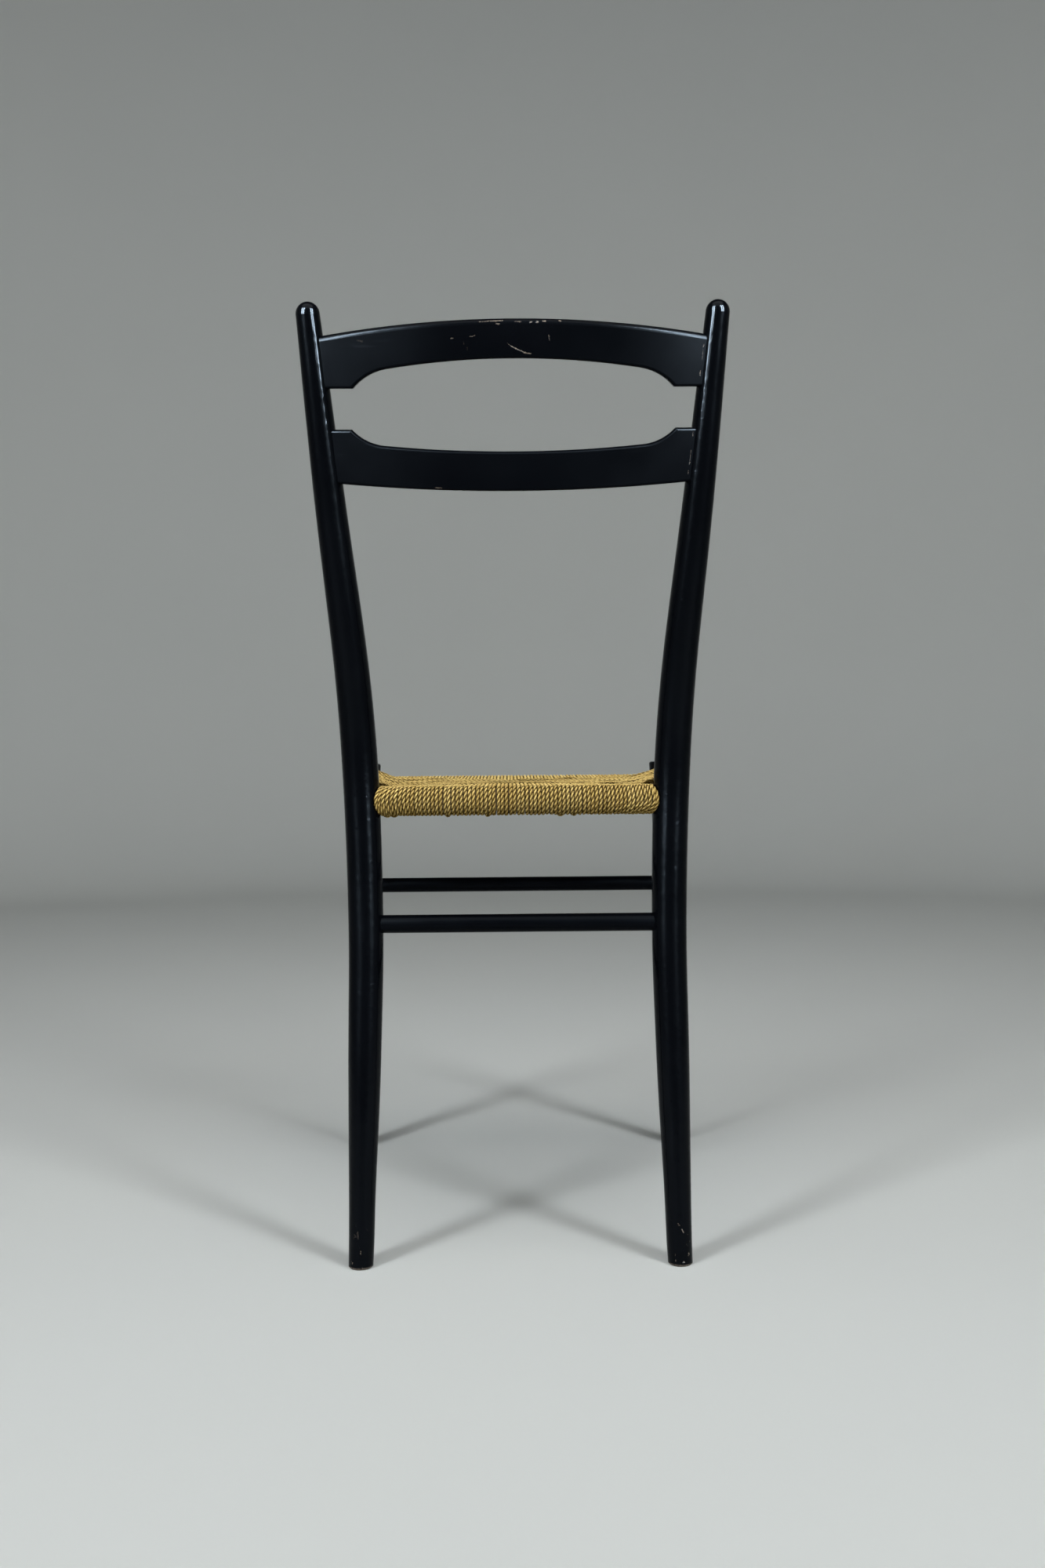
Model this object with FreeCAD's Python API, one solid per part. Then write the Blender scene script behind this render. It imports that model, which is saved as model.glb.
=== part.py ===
import FreeCAD, Part
import math
import os

# A black lacquered wooden dining chair with a woven cord seat, in millimetres.
# The sitter faces -Y, so the back of the chair is at +Y, and left is the sitter's left, at +X.
# Z is up from the floor. Sizes are taken about the middle of the seat's frame in Y, and at the
# end every piece moves so that the origin is the middle of the chair's box on the floor.

V = FreeCAD.Vector
UP = V(0, 0, 1)
AHEAD = V(1, 0, 0)
LEFT, RIGHT = 1, -1

# The seat, which carries the other heights
seat_height = 463.5             # floor to the top of the cord over the side rails, its highest
seat_depth = 380.0              # rear post axis to front leg axis, at the seat joints
cord_diameter = 3.8             # twisted paper cord

# Rear posts: turned and bent rods, one from the floor to the top of the back
post_height = 895.0             # floor to the crown of the dome
post_joint_drop = 13.5          # from the seat's height to where the post is thickest and bends
post_joint_radius = 17.5
post_top_radius = 11.0
post_foot_radius = 11.7
post_waist_height = 300.0       # where the two posts stand nearest to each other
post_waist_half_span = 146.5
post_top_half_span = 185.4
post_foot_half_span = 151.6
post_top_lean = 85.0            # how far the top stands behind the seat joint
post_bend_share = 0.2           # how much of the back's height its bend takes; above it is straight
post_foot_lean = 45.0           # how far the foot stands behind the seat joint
foot_lean_power_share = 1.5
post_foot_spread_power_share = 1.15
post_spread_shares = (
    (0.00, 0.000), (0.10, 0.020), (0.21, 0.065), (0.31, 0.128), (0.41, 0.212),
    (0.51, 0.335), (0.62, 0.502), (0.72, 0.648), (0.82, 0.779), (1.00, 1.000),
)
back_taper_power_share = 1.6

# Front legs: straight-grained turned legs that end just above the seat
leg_rise = 6.0                  # top of the leg over the seat's height
leg_joint_radius = 17.3
leg_foot_radius = 11.7
leg_top_half_span = 180.5
leg_foot_half_span = 190.5
leg_foot_reach = 10.0           # how far the foot stands ahead of the seat joint
leg_spread_power_share = 2.5
leg_top_round = 3.0

# Shared by all four legs: from the foot's radius (0) to the joint's (1), up to the joint's height
leg_taper_shares = (
    (0.00, 0.00), (0.13, 0.17), (0.27, 0.45), (0.40, 0.69),
    (0.53, 0.81), (0.67, 0.88), (0.80, 0.93), (1.00, 1.00),
)
foot_chamfer = 1.5
station_count = 15              # circles that each leg's surface passes through

# Glued joints
glue_gap = 0.15                 # between a piece and the post that it is housed in
mortise_end_gap = 0.6           # left free past a tenon's end

# Crest rail: a bowed board between the post tops
rail_thickness = 13.0
rail_bow = 20.0                 # how far the middle stands behind the ends
rail_tenon_thickness = 8.0
rail_tenon_depth = 14.0         # into the post
rail_tenon_shoulder = 5.5       # tab above and below the tenon
rail_edge_round = 2.5
crest_drop = 52.8               # top of the posts to the middle of the crest's tabs
crest_tab_height = 45.0
crest_middle_top = 37.5         # top edge at mid-span, over the middle of the tabs
crest_middle_height = 34.4
crest_under_rise = 8.5          # lower edge, from the cove's start to mid-span
crest_cove_start = 114.0
crest_cove_end = 146.0
crest_top_round = 5.0

# Lower back rail: the same board, sagging to mirror the crest round the eye between them
lower_drop = 133.3              # top of the posts to the middle of its tabs
lower_tab_height = 47.4
lower_middle_height = 35.2
lower_middle_drop = 31.4        # lower edge at mid-span, under the middle of the tabs
lower_top_sag = 5.4             # upper edge, from the cove's start to mid-span
lower_cove_start = 119.0
lower_cove_end = 148.7
cove_bulge_share = 0.09         # how far a cove's arc stands off its chord, in chords

# Stretchers: turned rods between the legs
stretcher_radius = 8.75
stretcher_tenon_radius = 6.0
stretcher_tenon_depth = 20.0
end_stretcher_drop = 142.5      # from the seat's height to the front one and the rear one
side_stretcher_drops = {"upper": 101.5, "lower": 215.5}

# Seat rails, hidden in the cord: oval bars with tongue tenons
seat_rail_width = 20.0
seat_rail_height = 21.4
seat_rail_round = 8.0
end_cord_drop = 9.5             # from the side rails' cord down to the front and back rails'
tongue_thickness = 9.0
tongue_height = 15.0
tongue_round = 4.0
end_tongue_depth = 22.0
end_tongue_offset = 3.0         # towards the outside of the chair, clear of the side tongues
tongue_web = 2.0                # wood left between the two mortises in a post

# Woven seat: four panels of cord, each wound round one rail, top and bottom layer
cord_fit = 0.3                  # between the cord and the wood in it
panel_gap = 0.3                 # between two panels at their seam
seam_back_reach = 40.0          # middle of the seat to the point where the back seams meet
seam_front_reach = 40.0
seat_middle_drop = 12.0         # from the side rails' cord down to the cord at the seat's middle
seat_middle_thickness = 16.0
side_slope_reach = 37.0         # from a side rail's axis to where its cords lie level
side_slope_foot_rise = 1.0      # over the middle of the seat, there
roll_flat = 4.0                 # half the level width on top of a side rail's cord

# Packing cards: stiff card in the pocket between each panel's two layers
card_thickness = 2.0
card_seam_margin = 9.0          # from a panel's seams to its pocket
card_play = 1.0                 # round the card's edges

# Tacks that hold the cord's starting ends to the side rails
tack_head_radius = 2.4
tack_head_thickness = 1.0
tack_shank_radius = 0.8
tack_length = 9.0
tack_fit = 0.05
tacks_per_side = 3
tack_first_place = 55.0         # from the front leg's axis
tack_spacing = 9.0

overrun = 60.0                  # that cutting tools run past what they cut
collar_half_length = 32.0       # of the cone that stands in for a leg where a piece meets it
tangent_step = 1.0              # for the slope of a leg's axis
level_tolerance = 0.05          # within which an edge counts as level

# Places that follow from these sizes
rear_y = seat_depth / 2
front_y = -seat_depth / 2
post_joint_height = seat_height - post_joint_drop
dome_height = post_height - post_top_radius
crest_height = post_height - crest_drop
lower_height = post_height - lower_drop
leg_height = seat_height + leg_rise
end_cord_top = seat_height - end_cord_drop
seat_middle_top = seat_height - seat_middle_drop
end_rail_height = end_cord_top - cord_diameter - seat_rail_height / 2
side_rail_height = seat_height - cord_diameter - seat_rail_height / 2
end_stretcher_height = seat_height - end_stretcher_drop
nose = seat_rail_width / 2 + cord_diameter


def smooth_share(shares, place):
    """Value at place of the smooth curve through a table of (place, value) shares."""
    if place <= shares[0][0]:
        return shares[0][1]
    if place >= shares[-1][0]:
        return shares[-1][1]
    low = max(i for i in range(len(shares) - 1) if shares[i][0] <= place)
    (t0, v0), (t1, v1) = shares[low], shares[low + 1]
    before, after = shares[max(low - 1, 0)], shares[min(low + 2, len(shares) - 1)]
    gap = t1 - t0
    rise0 = gap * (v1 - before[1]) / (t1 - before[0])
    rise1 = gap * (after[1] - v0) / (after[0] - t0)
    s = (place - t0) / gap
    start = (1 + 2 * s) * (1 - s) ** 2 * v0 + s * (1 - s) ** 2 * rise0
    return start + s * s * (3 - 2 * s) * v1 + s * s * (s - 1) * rise1


def between(low, high, share):
    return low + (high - low) * share


# Rear post

def bent(share):
    """A hyperbola that starts level and goes over into a straight lean."""
    return math.hypot(share, post_bend_share) - post_bend_share


def rear_axis(height, side):
    if height > post_waist_height:
        share = (height - post_waist_height) / (dome_height - post_waist_height)
        spread = smooth_share(post_spread_shares, share)
        x = between(post_waist_half_span, post_top_half_span, spread)
    else:
        share = max(0, (post_waist_height - height) / post_waist_height)
        x = between(post_waist_half_span, post_foot_half_span, share ** post_foot_spread_power_share)
    if height > post_joint_height:
        share = (height - post_joint_height) / (dome_height - post_joint_height)
        lean = post_top_lean * bent(share) / bent(1)
    else:
        share = (post_joint_height - height) / post_joint_height
        lean = post_foot_lean * share ** foot_lean_power_share
    return V(side * x, rear_y + lean, height)


def rear_radius(height):
    if height > post_joint_height:
        share = (height - post_joint_height) / (dome_height - post_joint_height)
        return between(post_joint_radius, post_top_radius, share ** back_taper_power_share)
    share = smooth_share(leg_taper_shares, height / post_joint_height)
    return between(post_foot_radius, post_joint_radius, share)


# Front leg

def front_axis(height, side):
    share = min(max(height / leg_height, 0), 1)
    x = between(leg_foot_half_span, leg_top_half_span, share ** leg_spread_power_share)
    return V(side * x, front_y - leg_foot_reach * (1 - share) ** foot_lean_power_share, height)


def front_radius(height):
    share = smooth_share(leg_taper_shares, height / leg_height)
    return between(leg_foot_radius, leg_joint_radius, share)


REAR = (rear_axis, rear_radius)
FRONT = (front_axis, front_radius)
SIDE_NAMES = {LEFT: "left", RIGHT: "right"}
SIDE_CORNERS = {LEFT: [(FRONT, LEFT), (REAR, LEFT)], RIGHT: [(REAR, RIGHT), (FRONT, RIGHT)]}


def direction(axis, height, side):
    return (axis(height + tangent_step, side) - axis(height, side)).normalize()


def tapered_rod(axis, radius, side, top, level_top):
    """Surface through circles square to a curved axis. The foot is level, and so may the top be."""
    sections = []
    for i in range(station_count + 1):
        height = top * i / station_count
        level = i == 0 or (level_top and i == station_count)
        square = UP if level else direction(axis, height, side)
        circle = Part.Wire(Part.makeCircle(radius(height)))
        circle.Placement = FreeCAD.Placement(axis(height, side), FreeCAD.Rotation(UP, square))
        sections.append(circle)
    return Part.makeLoft(sections, True, False)


def collar(leg, height, side, grow):
    """A short cone that stands in for a leg's surface, larger by grow, where a piece meets it."""
    axis, radius = leg
    way = direction(axis, height, side)
    change = (radius(height + tangent_step) - radius(height)) * collar_half_length / tangent_step
    base = axis(height, side) - way * collar_half_length
    low, high = radius(height) - change + grow, radius(height) + change + grow
    if low == high:
        return Part.makeCylinder(low, 2 * collar_half_length, base, way)
    return Part.makeCone(low, high, 2 * collar_half_length, base, way)


def edges_at(shape, height):
    """The edges that lie level at one height."""
    found = []
    for edge in shape.Edges:
        box = edge.BoundBox
        if max(abs(box.ZMin - height), abs(box.ZMax - height)) < level_tolerance:
            found.append(edge)
    return found


def rear_post(side):
    rod = tapered_rod(rear_axis, rear_radius, side, dome_height, False)
    rod = rod.makeChamfer(foot_chamfer, edges_at(rod, 0))
    dome = Part.makeSphere(post_top_radius, rear_axis(dome_height, side),
                           direction(rear_axis, dome_height, side), 0, 90, 360)
    return rod.fuse(dome)


def front_leg(side):
    rod = tapered_rod(front_axis, front_radius, side, leg_height, True)
    rod = rod.makeChamfer(foot_chamfer, edges_at(rod, 0))
    return rod.makeFillet(leg_top_round, edges_at(rod, leg_height))


# Straight members between two posts
# Each is made along +X from its start, with +Y across it and +Z up, and then turned into place.

def rounded_box(length, width, height, round_radius):
    """A bar along X, centred on it, with its four long edges rounded."""
    y, z, r = width / 2, height / 2, round_radius
    s = r * (1 - math.sqrt(0.5))
    corners = ((y, z), (-y, z), (-y, -z), (y, -z))
    edges, last = [], None
    for cy, cz in corners:
        sy, sz = math.copysign(1, cy), math.copysign(1, cz)
        flat, upright = V(0, cy - sy * r, cz), V(0, cy, cz - sz * r)
        first, second = (upright, flat) if sy == sz else (flat, upright)
        if last is not None:
            edges.append(Part.makeLine(last, first))
        edges.append(Part.Arc(first, V(0, cy - sy * s, cz - sz * s), second).toShape())
        last = second
    edges.append(Part.makeLine(last, edges[0].Vertexes[0].Point))
    return Part.Face(Part.Wire(edges)).extrude(AHEAD * length)


def rod_along(length, radius):
    return Part.makeCylinder(radius, length, V(0, 0, 0), AHEAD)


def place_along(shape, start, end):
    heading = math.degrees(math.atan2(end.y - start.y, end.x - start.x))
    shape.rotate(V(0, 0, 0), UP, heading)
    shape.translate(start)
    return shape


class Joint:
    """Where a member meets a leg, and how deep its tenon goes in from the leg's surface."""

    def __init__(self, leg, height, side, depth):
        axis, radius = leg
        self.axis = axis(height, side)
        self.inset = radius(height) - depth
        self.envelope = collar(leg, height, side, glue_gap)


def member(start, end, body, tenon):
    """The member, coped to the legs and with its tenons, and the tool for its mortises."""
    reach = (end.axis - start.axis).Length
    bar = place_along(body(reach), start.axis, end.axis)
    for joint in (start, end):
        bar = bar.cut(joint.envelope)
    core_length = reach - start.inset - end.inset
    core = tenon(core_length, 0)
    core.translate(AHEAD * start.inset)
    tool = tenon(core_length + 2 * mortise_end_gap, glue_gap)
    tool.translate(AHEAD * (start.inset - mortise_end_gap))
    core = place_along(core, start.axis, end.axis)
    tool = place_along(tool, start.axis, end.axis)
    return largest(bar).fuse(core), tool


def largest(shape):
    return max(shape.Solids, key=lambda solid: solid.Volume)


def stretcher(start, end):
    def body(length):
        return rod_along(length, stretcher_radius)

    def tenon(length, grow):
        return rod_along(length, stretcher_tenon_radius + grow)

    return member(start, end, body, tenon)


def seat_rail(start, end, offset):
    def body(length):
        return rounded_box(length, seat_rail_width, seat_rail_height, seat_rail_round)

    def tenon(length, grow):
        width, height = tongue_thickness + 2 * grow, tongue_height + 2 * grow
        tongue = rounded_box(length, width, height, tongue_round + grow)
        tongue.translate(V(0, -offset, 0))
        return tongue

    return member(start, end, body, tenon)


# Bowed back rails
# Each is drawn upright about the middle of its tabs, and then leans back with the posts.

def arc(start, middle, end):
    return Part.Arc(V(start[0], 0, start[1]), V(middle[0], 0, middle[1]), V(end[0], 0, end[1])).toShape()


def line(start, end):
    return Part.makeLine(V(start[0], 0, start[1]), V(end[0], 0, end[1]))


def off_chord(start, end, share):
    """The middle of an arc that stands off its chord, to the left of the way from start to end."""
    across = (end[0] - start[0], end[1] - start[1])
    middle = ((start[0] + end[0]) / 2, (start[1] + end[1]) / 2)
    return (middle[0] - across[1] * share, middle[1] + across[0] * share)


def mirror(point):
    return (-point[0], point[1])


def crest_outline(half_span):
    tab = crest_tab_height / 2
    corner = (crest_cove_end, -tab)
    start = (crest_cove_start, crest_middle_top - crest_middle_height - crest_under_rise)
    top = (half_span, tab)
    end = (half_span, -tab)
    cove = off_chord(corner, start, -cove_bulge_share)
    return Part.Wire([
        arc(mirror(top), (0, crest_middle_top), top),
        line(top, end),
        line(end, corner),
        arc(corner, cove, start),
        arc(start, (0, crest_middle_top - crest_middle_height), mirror(start)),
        arc(mirror(start), mirror(cove), mirror(corner)),
        line(mirror(corner), mirror(end)),
        line(mirror(end), mirror(top)),
    ])


def lower_outline(half_span):
    tab = lower_tab_height / 2
    corner = (lower_cove_end, tab)
    start = (lower_cove_start, lower_middle_height - lower_middle_drop + lower_top_sag)
    bottom = (half_span, -tab)
    end = (half_span, tab)
    cove = off_chord(corner, start, cove_bulge_share)
    return Part.Wire([
        arc(mirror(bottom), (0, -lower_middle_drop), bottom),
        line(bottom, end),
        line(end, corner),
        arc(corner, cove, start),
        arc(start, (0, lower_middle_height - lower_middle_drop), mirror(start)),
        arc(mirror(start), mirror(cove), mirror(corner)),
        line(mirror(corner), mirror(end)),
        line(mirror(end), mirror(bottom)),
    ])


def bowed_slab(half_span, thickness, height):
    """An upright curved board whose middle stands rail_bow behind its ends."""
    radius = (half_span ** 2 + rail_bow ** 2) / (2 * rail_bow)
    centre = V(0, rail_bow - radius, -height / 2)
    outer = Part.makeCylinder(radius + thickness / 2, height, centre)
    inner = Part.makeCylinder(radius - thickness / 2, height, centre)
    slab = outer.cut(inner)
    width = half_span + overrun
    window = Part.makeBox(2 * width, 2 * overrun, height, V(-width, -overrun, -height / 2))
    return slab.common(window)


def block(outline, half_depth):
    outline.translate(V(0, -half_depth, 0))
    return Part.Face(outline).extrude(V(0, 2 * half_depth, 0))


def tab_blocks(start, end, height):
    """Two upright blocks over a back rail's tabs, from start to end out from the middle."""
    block_size = (end - start, 2 * overrun, height)
    left = Part.makeBox(*block_size, V(start, -overrun, -height / 2))
    right = Part.makeBox(*block_size, V(-end, -overrun, -height / 2))
    return left, right


def round_long_edges(board, top_round):
    """Round the edges that run along a back rail's faces, those above its tabs' middle first."""
    for is_top, edge_round in ((True, top_round), (False, rail_edge_round)):
        found = []
        for edge in board.Edges:
            box = edge.BoundBox
            if box.XLength > rail_thickness / 2 and (box.ZMin > 0) == is_top:
                found.append(edge)
        board = largest(board.makeFillet(edge_round, found))
    return board


def back_rail(outline, height, tab_height, tab_start, top_round):
    """A back rail with its tenons, and the tools for its mortises."""
    post = rear_axis(height, LEFT)
    half_span = post.x
    slab = bowed_slab(half_span, rail_thickness, 2 * overrun)
    board = round_long_edges(block(outline(half_span), overrun).common(slab), top_round)

    end = half_span - rear_radius(height) + rail_tenon_depth
    tongue_height = tab_height - 2 * rail_tenon_shoulder
    core = bowed_slab(half_span, rail_tenon_thickness, 2 * overrun)
    grown_core = bowed_slab(half_span, rail_tenon_thickness + 2 * glue_gap, 2 * overrun)
    tongues = [tab.common(core) for tab in tab_blocks(tab_start, end, tongue_height)]
    holes = tab_blocks(tab_start, end + mortise_end_gap, tongue_height + 2 * glue_gap)
    tools = [hole.common(grown_core) for hole in holes]

    way = direction(rear_axis, height, LEFT)
    lean = -math.degrees(math.atan2(way.y, way.z))
    for solid in [board] + tongues + tools:
        solid.rotate(V(0, 0, 0), AHEAD, lean)
        solid.translate(V(0, post.y, height))
    for side in (LEFT, RIGHT):
        board = board.cut(collar(REAR, height, side, glue_gap))
    return largest(board).fuse(tongues), tools[0].fuse(tools[1])


# Woven cord panels
# Each is drawn along +X on its rail's axis, from one post to the next, with +Y to the seat's middle.

def side_slope(depth):
    """Top of the side cords, from the rail's axis to the middle of the seat."""
    foot = seat_middle_top + side_slope_foot_rise
    return ((roll_flat, seat_height), (side_slope_reach, foot), (depth, seat_middle_top))


def end_slope(depth):
    """Top of the front and back cords."""
    return ((0, end_cord_top), (depth, seat_middle_top))


def sleeve(length, rail_height, slope, depth, grow, drop):
    """Cord round a rail: out by grow from the rail, in by drop from the cord's two faces."""
    y, z, r = seat_rail_width / 2 + grow, seat_rail_height / 2 + grow, seat_rail_round + grow
    s = r * (1 - math.sqrt(0.5))
    top = [V(0, d, level - drop - rail_height) for d, level in slope(depth)]
    bottom = V(0, depth, seat_middle_top - seat_middle_thickness + drop - rail_height)
    edges = [
        Part.makeLine(V(0, 0, -z), V(0, r - y, -z)),
        Part.Arc(V(0, r - y, -z), V(0, s - y, s - z), V(0, -y, r - z)).toShape(),
        Part.makeLine(V(0, -y, r - z), V(0, -y, z - r)),
        Part.Arc(V(0, -y, z - r), V(0, s - y, z - s), V(0, r - y, z)).toShape(),
    ]
    corners = [V(0, r - y, z)] + [p for p in top if p.y > 0] + [bottom, V(0, 0, -z)]
    edges += [Part.makeLine(a, b) for a, b in zip(corners, corners[1:])]
    return Part.Face(Part.Wire(edges)).extrude(AHEAD * length)


def prism(points):
    """An upright prism over a plan outline, tall enough for the whole seat."""
    low = min(end_rail_height, side_rail_height) - overrun
    high = max(end_rail_height, side_rail_height) + overrun
    corners = [V(x, y, low) for x, y in points]
    return Part.Face(Part.makePolygon(corners + corners[:1])).extrude(V(0, 0, high - low))


def seam_points():
    """Plan points on the sitter's left that the seams run through."""
    rear = rear_axis(side_rail_height, LEFT)
    front = front_axis(side_rail_height, LEFT)
    return (rear.x, rear.y), (front.x, front.y)


def end_plan(where, margin):
    """Plan of the front or back panel, drawn in by margin from its seams."""
    rear, front = seam_points()
    drawn = margin * math.sqrt(2)
    if where == "back":
        (x, y), apex, way = rear, seam_back_reach, 1
    else:
        (x, y), apex, way = front, -seam_front_reach, -1
    outside = y + way * (nose + overrun)
    y += way * drawn
    return ((-x, outside), (x, outside), (x, y), (0, apex + way * drawn), (-x, y))


def side_plan(side, margin):
    """Plan of a side panel, drawn in by margin from its seams."""
    rear, front = seam_points()
    out = nose + overrun
    drawn = margin * math.sqrt(2)
    points = (
        (front[0] + out, front[1]),
        (rear[0] + out, rear[1]),
        (rear[0], rear[1] - drawn),
        (margin, seam_back_reach - drawn),
        (margin, drawn - seam_front_reach),
        (front[0], front[1] + drawn),
    )
    return tuple((side * x, y) for x, y in points)


def cord_panel(corners, rail_height, slope, depth, plan):
    """One panel of the seat, between two legs, and the card in its pocket."""
    start, end = [leg[0](side_rail_height, side) for leg, side in corners]
    reach = (end - start).Length

    def along(shape):
        return place_along(shape, V(start.x, start.y, rail_height), V(end.x, end.y, rail_height))

    wall = cord_diameter - cord_fit
    panel = along(sleeve(reach, rail_height, slope, depth, cord_diameter, 0))
    panel = panel.common(prism(plan(panel_gap / 2)))
    tunnel_width, tunnel_height = seat_rail_width + 2 * cord_fit, seat_rail_height + 2 * cord_fit
    tunnel = along(rounded_box(reach, tunnel_width, tunnel_height, seat_rail_round + cord_fit))
    pocket = along(sleeve(reach, rail_height, slope, depth, cord_fit, wall))
    pocket = pocket.common(prism(plan(card_seam_margin)))
    panel = panel.cut(tunnel).cut(pocket)
    for leg, side in corners:
        panel = panel.cut(collar(leg, rail_height, side, cord_fit))
    return largest(panel), packing_card(reach, rail_height, depth, plan, along, wall)


def packing_card(reach, rail_height, depth, plan, along, wall):
    """A flat card that lies on the lower layer, from the rail to the seams."""
    floor_start = -seat_rail_height / 2 - cord_fit
    floor_end = seat_middle_top - seat_middle_thickness + wall - rail_height
    first = seat_rail_width / 2 + card_play
    last = depth - card_play

    def floor(d):
        return between(floor_start, floor_end, d / depth) + cord_fit

    corners = [V(0, first, floor(first)), V(0, last, floor(last)),
               V(0, last, floor(last) + card_thickness), V(0, first, floor(first) + card_thickness)]
    card = along(Part.Face(Part.makePolygon(corners + corners[:1])).extrude(AHEAD * reach))
    return largest(card.common(prism(plan(card_seam_margin + card_play))))


# Tacks

def tacks(start, end, grow):
    """Tacks in the inner face of a side rail, heads towards the middle of the seat."""
    reach = (end - start).Length
    found = []
    for i in range(tacks_per_side):
        place = tack_first_place + i * tack_spacing
        x = place if start.y < end.y else reach - place
        face = V(x, seat_rail_width / 2, 0)
        shank = Part.makeCylinder(tack_shank_radius + grow, tack_length + grow, face, V(0, -1, 0))
        if grow == 0:
            head = Part.makeCylinder(tack_head_radius, tack_head_thickness, face, V(0, 1, 0))
            shank = shank.fuse(head)
        found.append(place_along(shank, start, end))
    return found


def build():
    both = (LEFT, RIGHT)
    legs = {(REAR, side): rear_post(side) for side in both}
    legs.update({(FRONT, side): front_leg(side) for side in both})
    nodes = {}

    def house(name, made, housings):
        """Keep a member and cut its mortises in the legs that hold it."""
        nodes[name], tool = made
        for housing in housings:
            legs[housing] = legs[housing].cut(tool)

    rear, front = [(REAR, RIGHT), (REAR, LEFT)], [(FRONT, RIGHT), (FRONT, LEFT)]
    house("crest_rail", back_rail(crest_outline, crest_height, crest_tab_height,
                                  crest_cove_end, crest_top_round), rear)
    house("lower_back_rail", back_rail(lower_outline, lower_height, lower_tab_height,
                                       lower_cove_end, rail_edge_round), rear)

    for name, corners in (("rear_stretcher", rear), ("front_stretcher", front)):
        ends = [Joint(leg, end_stretcher_height, side, stretcher_tenon_depth) for leg, side in corners]
        house(name, stretcher(*ends), corners)
    for side in both:
        corners = [(FRONT, side), (REAR, side)]
        for level, drop in side_stretcher_drops.items():
            ends = [Joint(leg, seat_height - drop, side, stretcher_tenon_depth) for leg, _ in corners]
            house(f"side_stretcher_{level}_{SIDE_NAMES[side]}", stretcher(*ends), corners)

    # Round the seat the rails run anticlockwise seen from above, with the seat's middle on their left
    for name, corners in (("back", rear[::-1]), ("front", front)):
        ends = [Joint(leg, end_rail_height, side, end_tongue_depth) for leg, side in corners]
        house(f"seat_rail_{name}", seat_rail(ends[0], ends[1], end_tongue_offset), corners)
    for side, corners in SIDE_CORNERS.items():
        ends = []
        for leg, _ in corners:
            depth = leg[1](side_rail_height) + end_tongue_offset - tongue_thickness / 2 - tongue_web
            ends.append(Joint(leg, side_rail_height, side, depth))
        house(f"seat_rail_{SIDE_NAMES[side]}", seat_rail(ends[0], ends[1], 0), corners)

    rear_corner, front_corner = rear_axis(side_rail_height, LEFT), front_axis(side_rail_height, LEFT)
    panels = {
        "back": (rear[::-1], end_rail_height, end_slope, rear_corner.y - seam_back_reach,
                 lambda margin: end_plan("back", margin)),
        "front": (front, end_rail_height, end_slope, -front_corner.y - seam_front_reach,
                  lambda margin: end_plan("front", margin)),
        "left": (SIDE_CORNERS[LEFT], side_rail_height, side_slope, front_corner.x,
                 lambda margin: side_plan(LEFT, margin)),
        "right": (SIDE_CORNERS[RIGHT], side_rail_height, side_slope, front_corner.x,
                  lambda margin: side_plan(RIGHT, margin)),
    }
    for name, panel in panels.items():
        nodes[f"seat_cord_{name}"], nodes[f"packing_card_{name}"] = cord_panel(*panel)

    heads = []
    for side, corners in SIDE_CORNERS.items():
        ends = [leg[0](side_rail_height, side) for leg, _ in corners]
        rail = f"seat_rail_{SIDE_NAMES[side]}"
        for hole in tacks(ends[0], ends[1], tack_fit):
            nodes[rail] = nodes[rail].cut(hole)
        heads += tacks(ends[0], ends[1], 0)
    nodes["cord_tacks"] = Part.makeCompound(heads)

    for (leg, side), shape in legs.items():
        name = "rear_post" if leg == REAR else "front_leg"
        nodes[f"{name}_{SIDE_NAMES[side]}"] = largest(shape)
    return nodes


def middle_of_footprint(nodes):
    boxes = [shape.optimalBoundingBox(False, False) for shape in nodes.values()]
    low = min(box.YMin for box in boxes)
    high = max(box.YMax for box in boxes)
    return (low + high) / 2


def main():
    nodes = build()
    shift = V(0, -middle_of_footprint(nodes), 0)
    os.makedirs("parts", exist_ok=True)
    for name, shape in nodes.items():
        shape.translate(shift)
        shape.exportStep(f"parts/{name}.step")
        print(f"{name:28s} solids {len(shape.Solids)} valid {shape.isValid()} volume {shape.Volume:.0f}")
    print(f"all pieces moved by {shift.y:.3f} in Y")


main()
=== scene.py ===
import math

import bpy
import numpy as np
from mathutils import Matrix, Vector
from mathutils.bvhtree import BVHTree


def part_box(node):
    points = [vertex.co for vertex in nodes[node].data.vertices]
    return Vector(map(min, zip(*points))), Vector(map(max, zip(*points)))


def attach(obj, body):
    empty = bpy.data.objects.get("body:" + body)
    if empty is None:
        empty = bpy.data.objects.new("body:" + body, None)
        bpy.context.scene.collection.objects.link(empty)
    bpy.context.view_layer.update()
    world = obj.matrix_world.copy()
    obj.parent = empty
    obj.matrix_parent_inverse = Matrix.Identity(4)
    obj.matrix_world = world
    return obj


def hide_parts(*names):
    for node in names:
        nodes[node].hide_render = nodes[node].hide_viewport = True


# A black lacquered dining chair with a woven paper cord seat, seen from behind.
# Metres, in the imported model's frame: +Z up, the back of the chair at +Y, the sitter's left at +X.

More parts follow.
